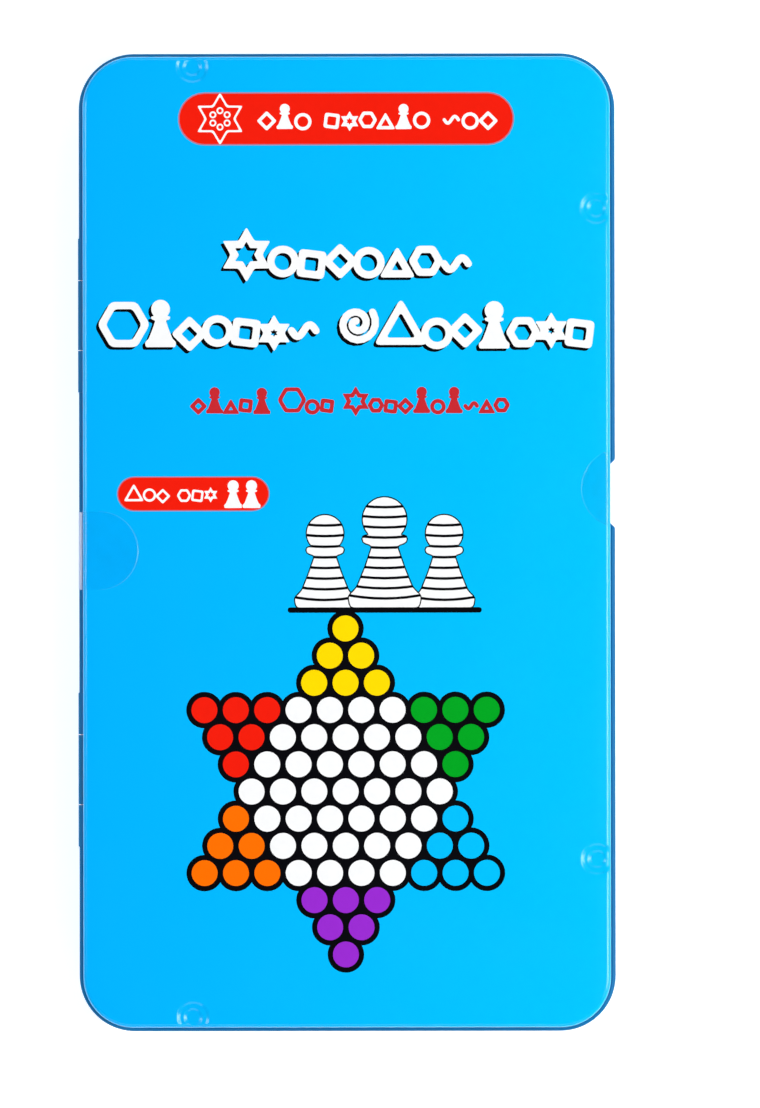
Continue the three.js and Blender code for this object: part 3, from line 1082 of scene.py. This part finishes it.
TRAY_CORNER = 6.4
TRAY_ROUND = 0.35
TRAY_DRAFT = 0.1
BOARD_HALF = (BOARD_HIGH[:2] - BOARD_LOW[:2]) / 2
BOARD_CORNER = 3
RECESS_ROUND = 0.3
RECESS_GAP = 0.25
RECESS_Y = (BOARD_LOW[1] + BOARD_HIGH[1]) / 2
RECESS_FLOOR = BOARD_LOW[2] - 0.03
WELL_HALF = (37, 23)
WELL_CORNER = 4
WELL_ROUND = 0.7
WELL_Y = (LEAFLET_LOW[1] + LEAFLET_HIGH[1]) / 2
WELL_FLOOR = LEAFLET_LOW[2] - 0.05
TRAY_SHEET = 0.5


def sunk_pan(shell, half, centre_y, corner, rounding, floor, floor_round, draft):
    """A pan pressed down into the tray's top. Returns the ring round its mouth."""
    outline = Outline(half, corner, 3, centre=(0, centre_y), corner_steps=12)
    rings = bend(outline, rounding, TRAY_HIGH[2] - rounding, rounding, 90, 180, 6)
    rings += bend(outline, -draft - floor_round, floor + floor_round, floor_round, 0, -90, 7)
    shell.loft(rings, "plastic")
    shell.fill(rings[-1], "plastic")
    return rings[0]


def build_tray(material):
    """A formed sheet: a skirt with a little draft, and two pans sunk into its top."""
    shell = Shell(("plastic",))
    outline = Outline(TRAY_HIGH[:2], TRAY_CORNER, 3, corner_steps=16)
    top = TRAY_HIGH[2]
    rings = [outline.ring(0, TRAY_LOW[2]), outline.ring(-TRAY_DRAFT / 2, (top + TRAY_LOW[2]) / 2)]
    rings += bend(outline, -TRAY_DRAFT - TRAY_ROUND, top - TRAY_ROUND, TRAY_ROUND, 0, 90, 6)
    shell.loft(rings, "plastic")
    recess_half = BOARD_HALF + RECESS_GAP
    recess_corner = BOARD_CORNER + RECESS_GAP
    recess = sunk_pan(shell, recess_half, RECESS_Y, recess_corner, RECESS_ROUND, RECESS_FLOOR, 0.15, 0.02)
    well = sunk_pan(shell, WELL_HALF, WELL_Y, WELL_CORNER, WELL_ROUND, WELL_FLOOR, 1.2, 0.4)
    shell.fill(rings[-1], "plastic", holes=(recess, well))
    tray = shell.build("tray", {"plastic": material})
    thick = tray.modifiers.new("sheet", "SOLIDIFY")
    thick.thickness = TRAY_SHEET * MM
    thick.offset = -1
    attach(tray, "base")
    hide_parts("insert_tray")


def build_board():
    """The steel board: bare below and at its edge, printed on top."""
    outline = Outline(BOARD_HALF, BOARD_CORNER, 3, centre=(0, RECESS_Y), corner_steps=12)
    low, high = BOARD_LOW[2], BOARD_HIGH[2]
    shell = Shell(PRINT_INKS)
    rings = [outline.ring(-0.08, low), outline.ring(0, low + 0.08), outline.ring(0, high - 0.12)]
    rings += [outline.ring(-0.04, high - 0.03), outline.ring(-0.12, high)]
    shell.loft(rings, ("tin", "tin", "tin", "ground"))
    shell.fill(rings[0], "tin", flip=True)
    shell.fill(rings[-1], "ground", art=board_artwork())
    board = shell.build("board", INKS)
    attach(board, "base")
    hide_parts("board_panel")


VINYL_THICK = 0.34


def disc_mesh(name, node, materials):
    """A magnet disc: dark flexible magnet below, coloured vinyl on top, with a soft cut edge."""
    low, high = box_mm(node)
    radius = (high[0] - low[0]) / 2
    x, y, _ = (low + high) / 2
    height = high[2] - low[2]
    seam = height - VINYL_THICK
    # radius and height of each ring, and the ink of the band above it
    profile = (
        (radius * 0.9, 0.0, "magnet"),
        (radius - 0.12, 0.0, "magnet"),
        (radius - 0.03, 0.06, "magnet"),
        (radius, 0.2, "magnet"),
        (radius, seam - 0.05, "magnet"),
        (radius - 0.06, seam, "vinyl"),
        (radius, seam + 0.05, "vinyl"),
        (radius, height - 0.16, "vinyl"),
        (radius - 0.05, height - 0.05, "vinyl"),
        (radius - 0.16, height, "vinyl"),
        (radius * 0.8, height, "vinyl"),
        (radius * 0.74, height - 0.05, "vinyl"),
    )
    shell = Shell(("magnet", "vinyl"))
    rings = []
    for ring_radius, z, _ in profile:
        rings.append(np.array([(px, py, low[2] + z) for px, py in circle(x, y, ring_radius, 48)]))
    shell.loft(rings, [step[2] for step in profile[:-1]])
    for ring, centre_z, ink, flip in (
        (rings[0], low[2] + 0.02, "magnet", True),
        (rings[-1], high[2] - 0.06, "vinyl", False),
    ):
        first = shell.add_points(ring)
        middle = shell.add_points([(x, y, centre_z)])
        for i in range(len(ring)):
            face = (first + i, first + (i + 1) % len(ring), middle)
            shell.add_face(reversed(face) if flip else face, ink)
    return shell.build(name, materials, sharp=60)


DISC_BLUE = (0.008, 0.1, 0.6)  # the one disc colour that isn't an ink


def build_discs():
    dark = magnet("flexible_magnet")
    for colour in ("yellow", "red", "green", "orange", "blue", "purple"):
        face = vinyl("vinyl_" + colour, INK_RGB.get(colour, DISC_BLUE))
        for number in range(1, 7):
            node = f"disc_{colour}_{number}"
            piece = disc_mesh("magnet_" + node, node, {"magnet": dark, "vinyl": face})
            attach(piece, node)
            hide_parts(node)


LEAFLET_PLIES = 4
PLY_FILL = 0.86  # share of each ply's room that the paper takes, the rest being air
DOT_STAR = (-17, WELL_Y)
DOT_PITCH = 1.5
BAR_LEFT = 1
BAR_THICK = 0.7


def leaflet_artwork():
    """A small star of dots and plain bars, standing for a rules sheet's print."""
    art = Artwork()
    for x, y, _ in star_cells(DOT_STAR, DOT_PITCH):
        art.add(circle(x, y, 0.55, 10), "print")
    for row in range(9):
        y = WELL_Y + 13 - 3.2 * row
        right = BAR_LEFT + (22 if row % 4 else 12)
        bar = [(BAR_LEFT, y), (right, y), (right, y + BAR_THICK), (BAR_LEFT, y + BAR_THICK)]
        art.add(soften(bar, 0.3, 2), "print")
    return art


def build_leaflet():
    """A sheet folded into four plies: two folds on the left, loose edges on the right."""
    sheet = paper("leaflet_paper", (0.86, 0.84, 0.79))
    ink = paper("leaflet_print", (0.1, 0.28, 0.5))
    shell = Shell(("paper", "print"))
    half = (LEAFLET_HIGH[:2] - LEAFLET_LOW[:2]) / 2
    ply = (LEAFLET_HIGH[2] - LEAFLET_LOW[2]) / LEAFLET_PLIES
    for i in range(LEAFLET_PLIES):
        low = LEAFLET_LOW[2] + ply * i + 0.01
        high = low + ply * PLY_FILL
        inset = 0.18 * (i % 2) + 0.1 * i
        size = (half[0] - inset, half[1] - 0.07 * i)
        outline = Outline(size, 0.3, 4, centre=(-inset * 0.6, WELL_Y), corner_steps=4)
        rings = [outline.ring(-0.02, low), outline.ring(0, (low + high) / 2), outline.ring(-0.02, high)]
        shell.loft(rings, "paper")
        shell.fill(rings[0], "paper", flip=True)
        art = leaflet_artwork() if i == LEAFLET_PLIES - 1 else None
        shell.fill(rings[-1], "paper", art=art)
    leaflet = shell.build("leaflet", {"paper": sheet, "print": ink})
    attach(leaflet, "leaflet")
    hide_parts("rules_leaflet")


# ---- Seals ----

FILM = 0.07
FILM_LIFT = 0.06  # from the tin to the middle of the film
FILM_EDGE_LIFT = 0.09  # how far the cut edge stands up
SEALS = (("spine", -1), ("front", 1))
SEAL_HALF = 6.15
SEAL_COLUMNS = 41
LOWER_SEAL_ZS = (6.3, 5.0, 3.5, 1.9)


def seal_strip(name, side, section, body, node, materials, round_end=False):
    """A film tab along section, a list of (x, z). round_end adds the flat part on the lid's face."""
    low, high = box_mm(node)
    inner_x = high[0] if side < 0 else low[0]
    edge_x, edge_z = section[0]
    reach = min(1, abs(edge_x - inner_x) / SEAL_HALF) if round_end else 1
    widest = math.acos(1 - reach)
    turns = np.linspace(-widest, widest, SEAL_COLUMNS)
    ys = (low[1] + high[1]) / 2 + SEAL_HALF * np.sin(turns)
    flat = np.ones(SEAL_COLUMNS)
    rows = []
    if round_end:
        starts = inner_x + side * SEAL_HALF * (1 - np.cos(turns))
        for s in np.linspace(0, 1, 10) ** 1.6:
            height = edge_z + FILM_EDGE_LIFT * (1 - s) ** 8
            rows.append(np.column_stack([starts + (edge_x - starts) * s, ys, flat * height]))
        section = section[1:]
    for x, z in section:
        rows.append(np.column_stack([flat * x, ys, flat * z]))
    shell = Shell(("film", "cut"))
    shell.loft(rows, ["cut"] + ["film"] * (len(rows) - 2), closed=False)
    strip = shell.build(name, materials)
    thick = strip.modifiers.new("film", "SOLIDIFY")
    thick.thickness = FILM * MM
    thick.offset = 0
    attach(strip, body)
    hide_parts(node)


def lid_edge_section(side, over_bead):
    """The film's path off the lid's face: round the bend, down the skirt and over the bead."""
    section = arc(LID_HALF[0] - LID_BEND, TOP - LID_BEND, LID_BEND + FILM_LIFT, 90, 0, 7)
    if over_bead:
        bead_x = LID_HALF[0] + BEAD_OUT - BEAD_RADIUS
        section.append((LID_HALF[0] + FILM_LIFT + 0.02, 9.6))
        section += arc(bead_x, SEAM, BEAD_RADIUS + FILM_LIFT, 75, 0, 6)
    else:
        section.append((LID_HALF[0] + FILM_LIFT, SEAM + BEAD_RADIUS + 0.35))
    return [(side * x, z) for x, z in section]


def build_seals():
    film = {
        "film": clear_film("clear_film", (0.0, 0.36, 0.75), 0.03),
        # the lighter, denser tint along the film's cut edge is a painted highlight, over the real
        # reflection of the lifted edge
        "cut": clear_film("clear_film_cut_highlight", (0.2, 0.75, 1.0), 0.1),
    }
    for place, side in SEALS:
        section = lid_edge_section(side, over_bead=place == "spine")
        seal_strip(f"{place}_seal_upper", side, section, "lid", f"seal_{place}_lid", film, round_end=True)
    for place, side in SEALS:
        section = [(side * (BASE_HALF[0] + FILM_LIFT), z) for z in LOWER_SEAL_ZS]
        seal_strip(f"{place}_seal_lower", side, section, "base", f"seal_{place}_base", film)


# ---- Studio ----

CAMERA_DISTANCE = 1.6
FRAME_HEIGHT = 0.1757  # metres that the picture's height covers at the bead
SENSOR = 36.0
TARGET = Vector((0.0052, -0.0019, SEAM * MM))
CAMERA_LEAN = (0.4, -0.4)  # degrees off the vertical, towards +X and -Y
CAMERA_ROLL = 0.08  # degrees


def build_camera():
    data = bpy.data.cameras.new("camera")
    data.sensor_width = SENSOR
    data.lens = SENSOR * CAMERA_DISTANCE / FRAME_HEIGHT
    camera = new_object("camera", data)
    lean_x, lean_y = (math.radians(v) for v in CAMERA_LEAN)
    away = Vector((math.tan(lean_x), math.tan(lean_y), 1)).normalized()
    camera.location = TARGET + away * CAMERA_DISTANCE
    camera.rotation_euler = (-lean_y, lean_x, math.radians(-CAMERA_ROLL))
    bpy.context.scene.camera = camera


def area_light(name, place, size, power):
    """A soft box that faces the object; metres and watts."""
    data = bpy.data.lights.new(name, "AREA")
    data.shape = "RECTANGLE"
    data.size = size[0]
    data.size_y = size[1]
    data.energy = power
    light = new_object(name, data)
    light.location = place
    light.rotation_euler = (-Vector(place)).to_track_quat("-Z", "Y").to_euler()


def build_lights():
    area_light("left_box", (-0.85, 0.1, 1.0), (0.25, 0.75), 5.1)
    area_light("right_box", (0.73, -0.1, 1.02), (0.36, 0.8), 11.8)
    area_light("back_box", (0.05, 0.95, 0.9), (1.2, 0.5), 3.4)
    area_light("front_box", (-0.05, -0.95, 0.9), (1.2, 0.5), 3.4)


HORIZON = (0.06, 0.72)  # up to which height of a view's direction the world is bright, and how much
OVERHEAD = (0.4, 0.03)  # from which height it is dim, and how much light is left


def build_world():
    """Pale near the horizon and dim overhead, so that the flat lid doesn't mirror white."""
    world = bpy.data.worlds.new("studio")
    world.use_nodes = True
    bpy.context.scene.world = world
    tree = world.node_tree
    background = tree.nodes["Background"]
    background.inputs["Color"].default_value = (1, 1, 1, 1)
    place = tree.nodes.new("ShaderNodeTexCoord")
    axes = tree.nodes.new("ShaderNodeSeparateXYZ")
    ramp = tree.nodes.new("ShaderNodeMapRange")
    for name, value in zip(("From Min", "To Min", "From Max", "To Max"), HORIZON + OVERHEAD):
        ramp.inputs[name].default_value = value
    tree.links.new(place.outputs["Generated"], axes.inputs["Vector"])
    tree.links.new(axes.outputs["Z"], ramp.inputs["Value"])
    tree.links.new(ramp.outputs["Result"], background.inputs["Strength"])


FLOOR_RADIUS = 6  # metres
FLOOR_GAP = 0.03 * MM  # keeps the floor's face off the base's


def build_floor():
    work = bmesh.new()
    bmesh.ops.create_circle(work, cap_ends=True, radius=FLOOR_RADIUS, segments=96)
    mesh = bpy.data.meshes.new("floor")
    work.to_mesh(mesh)
    work.free()
    mesh.materials.append(studio_floor("studio_floor"))
    floor = new_object("floor", mesh)
    floor.location.z = -FLOOR_GAP


build_camera()
build_lights()
build_world()
build_floor()
build_lid()
build_base()
wire = steel_wire("hinge_wire")
for side, station_y in zip(("upper", "lower"), STATIONS):
    build_pin(side, station_y, wire)
build_tray(formed_plastic("tray_plastic"))
build_board()
build_discs()
build_leaflet()
build_seals()

bpy.context.scene.view_settings.view_transform = "Standard"
